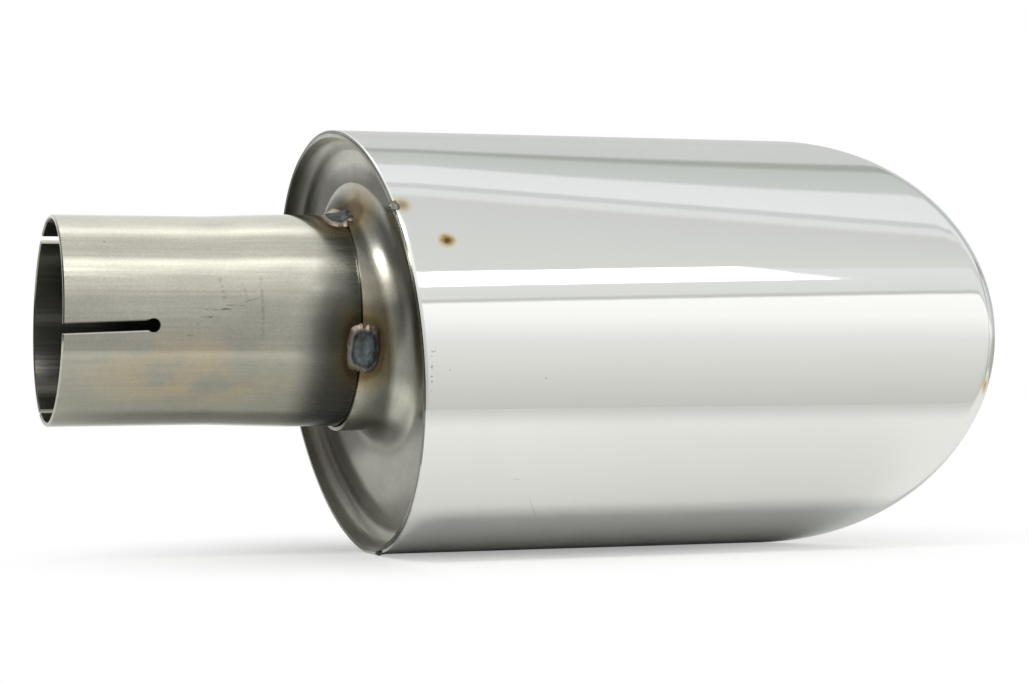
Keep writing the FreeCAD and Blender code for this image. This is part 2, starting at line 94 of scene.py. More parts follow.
INLET_SWING = 0.28
OUTLET_SWING = 0.49
PANELS = (
    # lower edge at inlet, at outlet, bend, softness, rise at inlet, at outlet, colour low, colour high
    (-60.0, -60.0, 0.0, 1.0, 60.0, 60.0, (0.52, 0.52, 0.465), (0.95, 0.955, 0.92)),
    (0.0, 0.0, 0.0, 0.3, 14.0, 14.0, (0.945, 0.95, 0.915), (1.20, 1.20, 1.175)),
    (14.0, 14.0, 0.0, 0.5, 7.0, 12.0, (1.20, 1.20, 1.175), (1.245, 1.25, 1.235)),
    (20.6, 27.2, 0.0, 0.8, 2.0, 2.0, (0.70, 0.71, 0.68), (0.70, 0.71, 0.68)),
    (22.4, 29.3, 0.0, 0.8, 16.0, 13.5, (0.90, 0.905, 0.88), (0.95, 0.965, 0.975)),
    (38.2, 42.4, 0.0, 0.5, 48.0, 15.0, (0.85, 0.865, 0.84), (0.785, 0.79, 0.785)),
    (85.5, 60.0, 0.0, 2.0, 5.0, 5.0, (0.93, 0.94, 0.935), (0.93, 0.94, 0.935)),
    (91.3, 64.6, 0.0, 1.2, 4.0, 4.0, (0.765, 0.785, 0.79), (0.765, 0.785, 0.79)),
    (95.3, 68.2, 0.0, 1.1, 16.0, 22.0, (1.0, 1.015, 1.02), (0.965, 0.975, 0.99)),
    (111.0, 91.0, -3.0, 2.0, 14.0, 28.0, (0.73, 0.765, 0.745), (0.64, 0.67, 0.645)),
    (125.0, 113.0, -3.0, 2.5, 4.0, 9.0, (0.48, 0.505, 0.47), (0.48, 0.505, 0.47)),
    (129.2, 121.5, -3.0, 2.5, 16.0, 16.0, (0.745, 0.757, 0.752), (0.735, 0.745, 0.735)),
    (146.0, 146.0, 0.0, 5.0, 34.0, 34.0, (0.70, 0.71, 0.695), (0.70, 0.71, 0.695)),
)
STRIP_LEVEL = 3.0
SIDE_LEVELS = (
    # angle and level where a direction leans less along X than the panels do
    (-180.0, 1.05),
    (-168.0, 0.95),
    (-155.0, 0.5),
    (-120.0, 0.5),
    (-60.0, 0.7),
    (-20.0, 0.62),
    (0.0, 0.72),
    (24.0, 0.86),
    (37.0, 1.1),
    (52.0, 1.28),
    (58.0, 1.6),
    (62.0, 2.0),
    (66.0, 2.3),
    (69.0, 1.9),
    (72.0, 1.25),
    (75.0, 1.05),
    (78.0, 1.25),
    (82.0, 1.1),
    (92.0, 1.12),
    (102.0, 1.25),
    (108.0, 1.8),
    (113.0, 2.3),
    (118.0, 1.9),
    (126.0, 1.4),
    (142.0, 1.2),
    (160.0, 1.0),
    (180.0, 1.1),
)
SIDE_SCALE = 2.5
SIDE_TINT = (1.0, 0.995, 0.97)
SIDE_END_FRONT = 0.260
SIDE_END_TOP = 0.247
FAR_LINE_SWING = 0.90
FAR_LINE_LEVEL = 0.6
KEY_LAMP = {
    "angle": 55.4,
    "distance": 0.9,
    "middle": -0.235,
    "long": 0.63,
    "wide": 0.165,
    "radiance": 16.5,
    "colour": (1.0, 0.985, 0.965),
}

# Floor, in metres

FLOOR_LEFT = -0.3
FLOOR_RIGHT = 0.5
FLOOR_FRONT = -0.116
FLOOR_BACK = 0.2
FLOOR_TONE = (0.865, 0.872, 0.856)
FLOOR_FRONT_SHADE = 0.74
FLOOR_INLET_SHADE = 0.76
FLOOR_MIDDLE = 0.15

# Colours of the bare metals

SHELL_COLOUR = (0.775, 0.78, 0.765)
PIPE_COLOUR = (0.45, 0.443, 0.385)
PLATE_COLOUR = (0.40, 0.395, 0.355)


def node(tree, kind, inputs=None, **settings):
    made = tree.nodes.new(kind)
    for name, value in settings.items():
        setattr(made, name, value)
    for key, value in (inputs or {}).items():
        if isinstance(value, bpy.types.NodeSocket):
            tree.links.new(value, made.inputs[key])
        else:
            made.inputs[key].default_value = value
    return made


def calc(tree, operation, *values):
    return node(tree, "ShaderNodeMath", dict(enumerate(values)), operation=operation).outputs[0]


def total(tree, *values):
    result = values[0]
    for value in values[1:]:
        result = calc(tree, "ADD", result, value)
    return result


def product(tree, *values):
    result = values[0]
    for value in values[1:]:
        result = calc(tree, "MULTIPLY", result, value)
    return result


def rise(tree, value, low, high, start=0.0, end=1.0, shape="SMOOTHSTEP"):
    """Number that goes from start to end while the value goes from low to high."""
    ends = {"Value": value, "From Min": low, "From Max": high, "To Min": start, "To Max": end}
    return node(tree, "ShaderNodeMapRange", ends, interpolation_type=shape).outputs[0]


def blend_numbers(tree, factor, first, second):
    return node(tree, "ShaderNodeMix", {0: factor, 2: first, 3: second}, data_type="FLOAT").outputs[0]


def opaque(colour):
    return (*colour, 1.0) if isinstance(colour, tuple) and len(colour) == 3 else colour


def blend_colours(tree, factor, first, second, kind="MIX"):
    ends = {0: factor, 6: opaque(first), 7: opaque(second)}
    return node(tree, "ShaderNodeMix", ends, data_type="RGBA", blend_type=kind).outputs[2]


def colour_ramp(tree, value, stops):
    """Colours along a value that goes from 0 to 1."""
    made = node(tree, "ShaderNodeValToRGB", {0: value})
    ramp = made.color_ramp
    while len(ramp.elements) < len(stops):
        ramp.elements.new(0.5)
    for element, (place, colour) in zip(ramp.elements, stops):
        element.position = place
        element.color = opaque(colour)
    return made.outputs[0]


def main_studio(tree, angle, swing_share, swing):
    """Panels that the shell shows, one above the other."""
    colour = opaque(PANELS[0][6])
    bow = calc(tree, "MULTIPLY", calc(tree, "SUBTRACT", 1.0, swing_share), swing_share)
    for inlet, outlet, bend, soft, rise_inlet, rise_outlet, colour_low, colour_high in PANELS:
        level = calc(tree, "MULTIPLY_ADD", swing_share, inlet - outlet, angle)
        if bend:
            level = calc(tree, "MULTIPLY_ADD", bow, -4.0 * bend, level)
        own = opaque(colour_low)
        if colour_low != colour_high:
            top = inlet + rise_inlet
            if rise_inlet != rise_outlet:
                top = calc(tree, "MULTIPLY_ADD", swing_share, rise_outlet - rise_inlet, top)
            own = blend_colours(tree, rise(tree, level, inlet, top, shape="LINEAR"), colour_low, colour_high)
        colour = blend_colours(tree, rise(tree, level, inlet - soft, inlet + soft), colour, own)
    above = calc(tree, "MULTIPLY_ADD", swing_share, -7.4, angle)
    strip_high = rise(tree, swing, INLET_SWING, 0.41, 37.5, 42.3, "LINEAR")
    below = calc(tree, "SUBTRACT", angle, strip_high)
    strip = calc(tree, "MULTIPLY", rise(tree, above, 29.1, 30.1), rise(tree, below, -0.4, 0.4, 1.0, 0.0))
    slant = calc(tree, "MULTIPLY_ADD", calc(tree, "SUBTRACT", angle, 37.0), 0.0052, swing)
    strip = calc(tree, "MULTIPLY", strip, rise(tree, slant, 0.4265, 0.4305, 1.0, 0.0))
    return blend_colours(tree, strip, colour, (STRIP_LEVEL,) * 3)


def side_studio(tree, angle, swing):
    """Softer lights that the pipe and the plate show."""
    place = rise(tree, angle, -180.0, 180.0, shape="LINEAR")
    tint = [SIDE_TINT[part] / SIDE_SCALE for part in range(3)]
    stops = [
        ((turn + 180.0) / 360.0, tuple(level * part for part in tint)) for turn, level in SIDE_LEVELS
    ]
    colour = colour_ramp(tree, place, stops)
    front = rise(tree, angle, 130.0, 165.0, 1.0, 0.0)
    under = rise(tree, swing, -0.88, -0.62, 0.25 * SIDE_SCALE, SIDE_SCALE)
    ahead = rise(tree, swing, -0.45, 0.05, 0.30, 1.0)
    dim = calc(tree, "MULTIPLY", under, blend_numbers(tree, front, 1.0, ahead))
    return blend_colours(tree, 1.0, colour, dim, "MULTIPLY")


def make_world():
    world = bpy.data.worlds.new("studio")
    bpy.context.scene.world = world
    world.use_nodes = True
    tree = world.node_tree
    tree.nodes.clear()
    direction = node(tree, "ShaderNodeTexCoord").outputs["Generated"]
    axes = node(tree, "ShaderNodeSeparateXYZ", {0: direction}).outputs
    swing = axes[0]
    front = calc(tree, "MULTIPLY", axes[1], -1.0)
    angle = calc(tree, "DEGREES", calc(tree, "ARCTAN2", axes[2], front))
    swing_share = rise(tree, swing, INLET_SWING, OUTLET_SWING, shape="LINEAR")
    main = main_studio(tree, angle, swing_share, swing)
    side = side_studio(tree, angle, swing)
    turned = rise(tree, calc(tree, "ABSOLUTE", angle), 60.0, 85.0, SIDE_END_FRONT, SIDE_END_TOP)
    past = calc(tree, "SUBTRACT", swing, turned)
    colour = blend_colours(tree, rise(tree, past, -0.003, 0.003), side, main)
    far_line = calc(tree, "ABSOLUTE", calc(tree, "SUBTRACT", swing, FAR_LINE_SWING))
    line_level = rise(tree, far_line, 0.008, 0.03, FAR_LINE_LEVEL, 1.0)
    colour = blend_colours(tree, 1.0, colour, line_level, "MULTIPLY")
    studio = node(tree, "ShaderNodeBackground", {0: colour, 1: 1.0}).outputs[0]
    white = node(tree, "ShaderNodeBackground", {0: (1.0, 1.0, 1.0, 1.0), 1: 1.0}).outputs[0]
    seen = node(tree, "ShaderNodeLightPath").outputs["Is Camera Ray"]
    shown = node(tree, "ShaderNodeMixShader", {0: seen, 1: studio, 2: white}).outputs[0]
    node(tree, "ShaderNodeOutputWorld", {0: shown})


def make_camera():
    data = bpy.data.cameras.new("camera")
    data.lens = CAMERA_LENS
    data.sensor_width = 36.0
    data.clip_start = 0.01
    data.clip_end = 50.0
    camera = bpy.data.objects.new("camera", data)
    camera.location = CAMERA_PLACE
    camera.rotation_euler = Euler([math.radians(turn) for turn in CAMERA_TURN], "XYZ")
    bpy.context.scene.collection.objects.link(camera)
    bpy.context.scene.camera = camera


def make_lamp(name, angle, distance, middle, long, wide, radiance, colour):
    """Soft box parallel to the object's axis, facing it from an angle above the front."""
    data = bpy.data.lights.new(name, "AREA")
    data.shape = "RECTANGLE"
    data.size = long
    data.size_y = wide
    data.energy = radiance * math.pi * long * wide
    data.color = colour
    lamp = bpy.data.objects.new(name, data)
    turn = math.radians(angle)
    away = Vector((0.0, -math.cos(turn), math.sin(turn)))
    lamp.location = away * distance + Vector((middle, 0.0, 0.0))
    lamp.rotation_euler = away.to_track_quat("Z", "Y").to_euler()
    bpy.context.scene.collection.objects.link(lamp)


def new_mesh(name, points, faces, sharp=35.0):
    mesh = bpy.data.meshes.new(name)
    mesh.from_pydata([tuple(point) for point in points], [], faces)
    mesh.validate()
    mesh.shade_smooth()
    mesh.set_sharp_from_angle(angle=math.radians(sharp))
    piece = bpy.data.objects.new(name, mesh)
    bpy.context.scene.collection.objects.link(piece)
    return piece


def ring_faces(rows, columns, first=0, closed=True):
    """Quads between rings of points, which join up with the first ring where closed."""
    faces = []
    for row in range(rows if closed else rows - 1):
        following = (row + 1) % rows
        for column in range(columns):
            beside = (column + 1) % columns
            faces.append(
                (
                    first + row * columns + column,
                    first + row * columns + beside,
                    first + following * columns + beside,
                    first + following * columns + column,
                )
            )
    return faces


def rim_station(rim, radius, clocks):
    """Where the leaning, bowed rim lies along X at a radius."""
    bow_radius = (SHELL_RADIUS**2 + rim["bow"] ** 2) / (2.0 * rim["bow"])
    tilt = math.radians(rim["tilt"])
    lean = radius * np.cos(clocks - math.radians(rim["clock"]))
    reach = np.sqrt(bow_radius**2 - (lean - bow_radius * math.sin(tilt)) ** 2)
    return rim["station"] - bow_radius * math.cos(tilt) + reach


def lip_line(clocks, wall, count):
    """Points of the rolled lip from the tube to the opening, at a depth under its outer skin."""
    centre_radius = SHELL_RADIUS - LIP_RADIUS
    across = np.cos(clocks - SLASH_CLOCK)
    centre = np.stack(
        [
            SLASH_STATION + centre_radius * across * math.tan(SLASH_ANGLE) - LIP_RADIUS / math.cos(SLASH_ANGLE),
            centre_radius * np.cos(clocks),
            centre_radius * np.sin(clocks),
        ],
        1,
    )
    outward = np.stack([np.zeros_like(clocks), np.cos(clocks), np.sin(clocks)], 1)
    facing = np.array(
        [
            math.cos(SLASH_ANGLE),
            -math.sin(SLASH_ANGLE) * math.cos(SLASH_CLOCK),
            -math.sin(SLASH_ANGLE) * math.sin(SLASH_CLOCK),
        ]
    )
    bend = np.arccos(outward @ facing)
    steps = np.linspace(0.0, 1.0, 120)
    radius = LIP_RADIUS - wall
    lines = []
    for index in range(len(clocks)):
        angle = bend[index]
        start = np.sin((1.0 - steps) * angle)[:, None] * outward[index]
        stop = np.sin(steps * angle)[:, None] * facing
        arc = centre[index] + radius * (start + stop) / math.sin(angle)
        last = arc[-1]
        inward = -outward[index] + facing * (outward[index] @ facing)
        inward /= np.linalg.norm(inward)
        flat = last + inward * np.linspace(0.05, 12.0, 240)[:, None]
        line = np.concatenate([arc, flat])
        inside = np.hypot(line[:, 1], line[:, 2])
        end = int(np.argmax(inside <= OPENING_RADIUS))
        share = (inside[end - 1] - OPENING_RADIUS) / (inside[end - 1] - inside[end])
        cut = line[end - 1] + (line[end] - line[end - 1]) * share
        line = np.concatenate([line[:end], [cut]])
        lengths = np.concatenate([[0.0], np.cumsum(np.linalg.norm(np.diff(line, axis=0), axis=1))])
        wanted = np.linspace(0.0, lengths[-1], count)
        lines.append(np.stack([np.interp(wanted, lengths, line[:, axis]) for axis in range(3)], 1))
    return np.array(lines).transpose(1, 0, 2)


def tube_row(stations, radius, clocks):
    return np.stack([stations, radius * np.cos(clocks), radius * np.sin(clocks)], 1)


def make_shell():
    clocks = np.linspace(0.0, 2.0 * math.pi, SHELL_COLUMNS, endpoint=False)
    bore = SHELL_RADIUS - SHELL_WALL
    outer_lip = lip_line(clocks, 0.0, LIP_ROWS)
    inner_lip = lip_line(clocks, SHELL_WALL, LIP_ROWS)
    rim = rim_station(RIM, SHELL_RADIUS, clocks)
    rows = []
    for distance in RIM_DISTANCES:
        radius = SHELL_RADIUS - RIM_ROLL * math.exp(-distance / RIM_ROLL_REACH)
        rows.append(tube_row(rim + distance, radius, clocks))
    start = rim + RIM_DISTANCES[-1]
    for share in np.linspace(0.0, 1.0, BODY_ROWS + 2)[1:-1]:
        rows.append(tube_row(start + (outer_lip[0, :, 0] - start) * share, SHELL_RADIUS, clocks))
    rows.extend(outer_lip)
    rows.extend(inner_lip[::-1])
    inside_rim = rim_station(RIM, bore, clocks)
    for share in np.linspace(1.0, 0.0, INSIDE_ROWS + 1)[1:]:
        rows.append(tube_row(inside_rim + (inner_lip[0, :, 0] - inside_rim) * share, bore, clocks))
    points = np.concatenate(rows)
    points[:, 2] -= SHELL_DROP
    return new_mesh("shell_skin", points * MM, ring_faces(len(rows), SHELL_COLUMNS))


def smooth_step(value, low, high):
    share = min(max((value - low) / (high - low), 0.0), 1.0)
    return share * share * (3.0 - 2.0 * share)


def tack_points(tack):
    """Lumpy bead across the neck's rim, with a raised edge, a crater and a sunk skirt."""
    clock, centre, half_length, half_width, lift, crater_x, crater_arc = tack
    seed = Vector((clock, 0.0, 0.0))
    points = []
    for ring in range(TACK_RINGS + 1):
        share = ring / TACK_RINGS
        for spoke in range(TACK_SPOKES):
            turn = 2.0 * math.pi * spoke / TACK_SPOKES
            direction = Vector((math.cos(turn), math.sin(turn), 0.0))
            square = (abs(direction.x) ** 3.2 + abs(direction.y) ** 3.2) ** (-1.0 / 3.2)
            ragged = 1.0 + 0.07 * noise.noise(direction * 2.2 + seed)
            ragged += 0.03 * noise.noise(direction * 7.0 + seed)
            along = direction.x * share * square * ragged * half_length
            arc = direction.y * share * square * ragged * half_width
            station = centre + along
            on_neck = smooth_step(station, *NECK_RIM_ROUNDING)
            base = PIPE_SEAT_RADIUS + (NECK_RADIUS - PIPE_SEAT_RADIUS) * on_neck
            height = lift * (1.0 - share**3.2)
            height += 0.12 * lift * math.exp(-(((share - 0.74) / 0.09) ** 2))
            height += 0.22 * lift * noise.noise(Vector((along, arc, clock)) * 0.55) * (1.0 - share**6)
            height += 0.08 * lift * noise.noise(Vector((along, arc, clock)) * 1.9) * (1.0 - share**6)
            pit = ((along - crater_x) / 1.3) ** 2 + ((arc - crater_arc) / 1.5) ** 2
            height -= 0.5 * lift * math.exp(-pit * 1.6)
            height -= 0.3 * share**12
            angle = math.radians(clock) + arc / NECK_RADIUS
            radius = base + height
            points.append((station, radius * math.cos(angle), radius * math.sin(angle)))
    angle = math.radians(clock)
    under = PIPE_SEAT_RADIUS - 0.2
    points.append((centre, under * math.cos(angle), under * math.sin(angle)))
    return points


def make_neck_tacks():
    points = []
    faces = []
    for tack in NECK_TACKS:
        first = len(points)
        points.extend(tack_points(tack))
        faces.extend(ring_faces(TACK_RINGS + 1, TACK_SPOKES, first, closed=False))
        last = first + TACK_RINGS * TACK_SPOKES
        under = len(points) - 1
        for spoke in range(TACK_SPOKES):
            faces.append((last + spoke, last + (spoke + 1) % TACK_SPOKES, under))
    return new_mesh("neck_tack_beads", np.array(points) * MM, faces, 60.0)


def make_rim_tacks():
    points = []
    faces = []
    rings = RIM_TACK_RINGS
    spokes = RIM_TACK_SPOKES
    for index in range(RIM_TACKS):
        clock = math.radians(RIM_TACK_CLOCK + index * 360.0 / RIM_TACKS)
        rim = float(rim_station(RIM, SHELL_RADIUS, np.array([clock]))[0])
        first = len(points)
        for ring in range(rings + 1):
            lean = math.pi * ring / rings
            for spoke in range(spokes):
                turn = 2.0 * math.pi * spoke / spokes
                way = Vector((math.cos(lean), math.sin(lean) * math.cos(turn), math.sin(lean) * math.sin(turn)))
                lump = 1.0 + 0.5 * noise.noise(way * 1.9 + Vector((float(index) + 0.4, 0.0, 0.0)))
                along, round_rim, out = (size * part * lump for size, part in zip(RIM_TACK_SIZE, way))
                radius = SHELL_RADIUS - RIM_TACK_SINK + out
                angle = clock + round_rim / SHELL_RADIUS
                station = rim + RIM_TACK_SETBACK + along
                points.append((station, radius * math.cos(angle), radius * math.sin(angle) - SHELL_DROP))
        faces.extend(ring_faces(rings + 1, spokes, first, closed=False))
    return new_mesh("rim_tack_beads", np.array(points) * MM, faces, 60.0)


def new_material(name, colour, roughness):
    material = bpy.data.materials.new(name)
    material.use_nodes = True
    tree = material.node_tree
    shader = tree.nodes["Principled BSDF"]
    shader.inputs["Base Color"].default_value = opaque(colour)
    shader.inputs["Metallic"].default_value = 1.0
    shader.inputs["Roughness"].default_value = roughness
    return material, tree, shader


def link(tree, value, shader, name):
    tree.links.new(value, shader.inputs[name])


class Place:
    """Where a point lies: mm along X, clock angle in degrees and mm from an axis below the pipe's."""

    def __init__(self, tree, drop=0.0):
        self.tree = tree
        self.point = node(tree, "ShaderNodeTexCoord").outputs["Object"]
        axes = node(tree, "ShaderNodeSeparateXYZ", {0: self.point}).outputs
        self.along = calc(tree, "MULTIPLY", axes[0], 1000.0)
        across = calc(tree, "MULTIPLY", axes[1], 1000.0)
        up = calc(tree, "MULTIPLY_ADD", axes[2], 1000.0, drop)
        turn = calc(tree, "DEGREES", calc(tree, "ARCTAN2", up, across))
        self.clock = calc(tree, "FLOORED_MODULO", turn, 360.0)
        self.radius = calc(tree, "SQRT", total(tree, product(tree, across, across), product(tree, up, up)))

    def unrolled(self, clock, radius):
        """Mm round the surface from a clock angle."""
        turn = calc(self.tree, "ADD", calc(self.tree, "SUBTRACT", self.clock, clock), 180.0)
        turn = calc(self.tree, "SUBTRACT", calc(self.tree, "FLOORED_MODULO", turn, 360.0), 180.0)
        return calc(self.tree, "MULTIPLY", turn, math.radians(radius))

    def spot(self, station, clock, radius, half_length, half_width, power=2.0):
        """Distance from a place, 1 at the edge of an oval or rounded box round it."""
        tree = self.tree
        past = calc(tree, "SUBTRACT", self.along, station)
        along = calc(tree, "ABSOLUTE", calc(tree, "DIVIDE", past, half_length))
        arc = calc(tree, "ABSOLUTE", calc(tree, "DIVIDE", self.unrolled(clock, radius), half_width))
        powers = total(tree, calc(tree, "POWER", along, power), calc(tree, "POWER", arc, power))
        return calc(tree, "POWER", powers, 1.0 / power)

    def patch(self, clock, half_turn, radius, half_depth):
        """Soft mask round a clock angle and a distance from the axis."""
        tree = self.tree
        turn = calc(tree, "DIVIDE", self.unrolled(clock, 180.0 / math.pi), half_turn)
        depth = calc(tree, "DIVIDE", calc(tree, "SUBTRACT", self.radius, radius), half_depth)
        away = calc(tree, "SQRT", total(tree, product(tree, turn, turn), product(tree, depth, depth)))
        return rise(tree, away, 0.3, 1.0, 1.0, 0.0)

    def scratch(self, station, clock, radius, length, width, slant=0.0):
        """Mask of a short straight scratch; a slant of 90 runs round the surface."""
        tree = self.tree
        along = calc(tree, "SUBTRACT", self.along, station)
        arc = self.unrolled(clock, radius)
        turn = math.radians(slant)
        cosine = math.cos(turn)
        sine = math.sin(turn)
        run = total(tree, calc(tree, "MULTIPLY", along, cosine), calc(tree, "MULTIPLY", arc, sine))
        off = total(tree, calc(tree, "MULTIPLY", along, -sine), calc(tree, "MULTIPLY", arc, cosine))
        inside = rise(tree, calc(tree, "ABSOLUTE", run), 0.35 * length, 0.5 * length, 1.0, 0.0)
        near = rise(tree, calc(tree, "ABSOLUTE", off), 0.2 * width, 0.7 * width, 1.0, 0.0)
        return calc(tree, "MULTIPLY", inside, near)

    def noise(self, stretch, detail=3.0, roughness=0.5, seed=0.0):
        """Noise in a stretched space; stretch is in waves a metre along X, Y and Z."""
        tree = self.tree
        moved = node(tree, "ShaderNodeVectorMath", {0: self.point, 1: stretch}, operation="MULTIPLY").outputs[0]
        moved = node(tree, "ShaderNodeVectorMath", {0: moved, 1: (seed,) * 3}, operation="ADD").outputs[0]
        ends = {"Vector": moved, "Scale": 1.0, "Detail": detail, "Roughness": roughness}
        return node(tree, "ShaderNodeTexNoise", ends).outputs[0]


def wobble(tree, value, reach):
    """Noise turned into a number round 1."""
    return rise(tree, value, 0.25, 0.75, 1.0 - reach, 1.0 + reach, "LINEAR")


def bump(tree, height, distance, strength=1.0, normal=None):
    ends = {"Strength": strength, "Distance": distance, "Height": height}
    if normal:
        ends["Normal"] = normal
    return node(tree, "ShaderNodeBump", ends).outputs[0]


HEAT_STOPS = (
    (0.0, (0.60, 0.50, 0.38)),
    (0.30, (0.58, 0.45, 0.30)),
    (0.38, (0.60, 0.45, 0.27)),
    (0.50, (0.94, 0.79, 0.54)),
    (0.72, (0.98, 0.91, 0.77)),
    (1.0, (1.0, 1.0, 1.0)),
)


def heat_tint(tree, place, colour, station, clock, radius, half_length, half_width, share=1.0):
    """Straw, brown and grey rings that welding leaves round a tack."""
    spot = place.spot(station, clock, radius, half_length, half_width, 2.6)
    ragged = place.noise((260.0, 260.0, 260.0), seed=clock)
    spot = calc(tree, "MULTIPLY_ADD", calc(tree, "SUBTRACT", ragged, 0.5), 0.35, spot)
    tint = colour_ramp(tree, rise(tree, spot, 0.5, 2.2, shape="LINEAR"), HEAT_STOPS)
    return blend_colours(tree, share, colour, tint, "MULTIPLY")


# A spot is its station, clock angle, radius, half length and half width. Stops are its colours outwards.
BURNT_SPOT = (97.7, 153.0, SHELL_RADIUS, 3.0, 2.5)
BURNT_STOPS = (
    (0.0, (0.12, 0.07, 0.045)),
    (0.22, (0.13, 0.075, 0.045)),
    (0.38, (0.42, 0.27, 0.13)),
    (0.6, (0.80, 0.62, 0.36)),
    (0.82, (0.95, 0.88, 0.72)),
    (1.0, (1.0, 1.0, 1.0)),
)
LIP_TINT = (255.6, 192.3, SHELL_RADIUS, 1.3, 3.2)
LIP_STOPS = (
    (0.0, (0.62, 0.40, 0.22)),
    (0.5, (0.85, 0.68, 0.46)),
    (1.0, (1.0, 1.0, 1.0)),
)
RIM_HALO_STOPS = (
    (0.0, (0.50, 0.38, 0.26)),
    (0.35, (0.70, 0.56, 0.38)),
    (0.7, (0.93, 0.88, 0.76)),
    (1.0, (1.0, 1.0, 1.0)),
)
RIM_HALO_SETBACK = 2.2
RIM_HALO_REACHES = (3.2, 2.0, 2.6)
SHELL_MARKS = (
    # along, clock, length, width, slant
    (119.0, 218.0, 2.4, 0.16, 12.0),
    (126.5, 229.5, 12.0, 0.12, 66.0),
    (96.5, 186.8, 0.5, 0.3, 0.0),
    (123.3, 189.1, 0.6, 0.4, 30.0),
)


def polished_steel():
    """Mirror-polished sheet with a burnt spot, tints beside the tacks, scuffs and a faint haze."""
    material, tree, shader = new_material("polished_steel", SHELL_COLOUR, 0.03)
    place = Place(tree, SHELL_DROP)
    colour = opaque(SHELL_COLOUR)
    cloud = place.noise((30.0, 30.0, 30.0), 4.0, seed=3.0)
    colour = blend_colours(tree, 1.0, colour, wobble(tree, cloud, 0.012), "MULTIPLY")
    spot = place.spot(*BURNT_SPOT)
    ragged = place.noise((700.0, 700.0, 700.0), 2.0)
    spot = calc(tree, "MULTIPLY_ADD", calc(tree, "SUBTRACT", ragged, 0.5), 0.35, spot)
    colour = blend_colours(tree, 1.0, colour, colour_ramp(tree, spot, BURNT_STOPS), "MULTIPLY")
    for index, reach in enumerate(RIM_HALO_REACHES):
        clock = RIM_TACK_CLOCK + index * 360.0 / RIM_TACKS
        rim = float(rim_station(RIM, SHELL_RADIUS, np.array([math.radians(clock)]))[0])
        halo = place.spot(rim + RIM_HALO_SETBACK, clock, SHELL_RADIUS, reach, reach)
        colour = blend_colours(tree, 1.0, colour, colour_ramp(tree, halo, RIM_HALO_STOPS), "MULTIPLY")
    lip = place.spot(*LIP_TINT)
    colour = blend_colours(tree, 1.0, colour, colour_ramp(tree, lip, LIP_STOPS), "MULTIPLY")
    marks = None
    for station, clock, length, width, slant in SHELL_MARKS:
        mark = place.scratch(station, clock, SHELL_RADIUS, length, width, slant)
        marks = calc(tree, "MAXIMUM", marks, mark) if marks else mark
    specks = place.noise((900.0, 900.0, 900.0), 1.0, seed=9.0)
    column = place.spot(92.0, 186.0, SHELL_RADIUS, 0.9, 8.5)
    dots = calc(tree, "MULTIPLY", rise(tree, specks, 0.60, 0.68), rise(tree, column, 0.7, 1.0, 1.0, 0.0))
    marks = calc(tree, "MAXIMUM", marks, dots)
    colour = blend_colours(tree, marks, colour, (0.48, 0.47, 0.45))
    inside = rise(tree, place.radius, 59.3, 59.5, 1.0, 0.0)
    beyond = rise(tree, place.along, 100.0, 101.0)
    link(tree, colour, shader, "Base Color")
    haze = rise(tree, place.noise((60.0, 400.0, 400.0), 3.0, seed=5.0), 0.3, 0.7, 0.02, 0.045, "LINEAR")
    core = rise(tree, spot, 0.15, 0.6, 0.35, 0.0)
    inner_finish = calc(tree, "MULTIPLY", calc(tree, "MULTIPLY", inside, beyond), 0.12)
    link(tree, total(tree, haze, core, inner_finish), shader, "Roughness")
    waves = place.noise((55.0, 90.0, 90.0), 2.0, 0.4, 1.0)
    grain = place.noise((1600.0, 1600.0, 1600.0), 2.0, 0.6, 2.0)
    normal = bump(tree, waves, 1.2e-5)
    link(tree, bump(tree, grain, 4.0e-7, 1.0, normal), shader, "Normal")
    return material


PIPE_MARKS = (
    # along, clock, length, width, slant, depth
    (41.3, 174.4, 8.2, 0.6, 0.0, 0.9),
    (38.8, 178.6, 5.7, 0.5, 0.0, 0.8),
    (46.5, 172.4, 7.0, 0.35, 1.0, 0.6),
    (50.5, 169.5, 5.0, 0.4, -14.0, 0.5),
    (42.6, 162.0, 8.5, 1.3, 80.0, 0.3),
    (48.8, 165.0, 6.0, 1.0, 74.0, 0.22),
    (35.7, 183.7, 2.4, 0.8, 82.0, 0.7),
    (34.0, 188.5, 2.4, 0.45, 8.0, 0.7),
    (12.2, 133.4, 1.4, 0.6, 70.0, 0.6),
    (53.3, 173.0, 20.0, 1.0, 90.0, 0.3),
    (39.0, 204.6, 52.0, 0.35, 0.0, 0.2),
)
SWAGE_START = 43.0
SWAGE_END = 64.0
SWAGE_SOFT_START = 37.0
SWAGE_SOFT_END = 70.0
SWAGE_RISE = 0.8


def haze(tree, place):
    """Share of its colour that the tube keeps at its end by the plate, which welding has dulled and which also
    carries painted shade and painted reflection.
    """
    lower = rise(tree, place.clock, 140.0, 185.0)
    edge = blend_numbers(tree, lower, 73.0, 65.0)
    past = calc(tree, "SUBTRACT", place.along, edge)
    deep = blend_numbers(tree, lower, 0.42, 0.16)
    level = blend_numbers(tree, rise(tree, past, 0.0, 8.0), 0.46, deep)
    return blend_numbers(tree, rise(tree, past, -4.0, 4.0), 1.0, level)


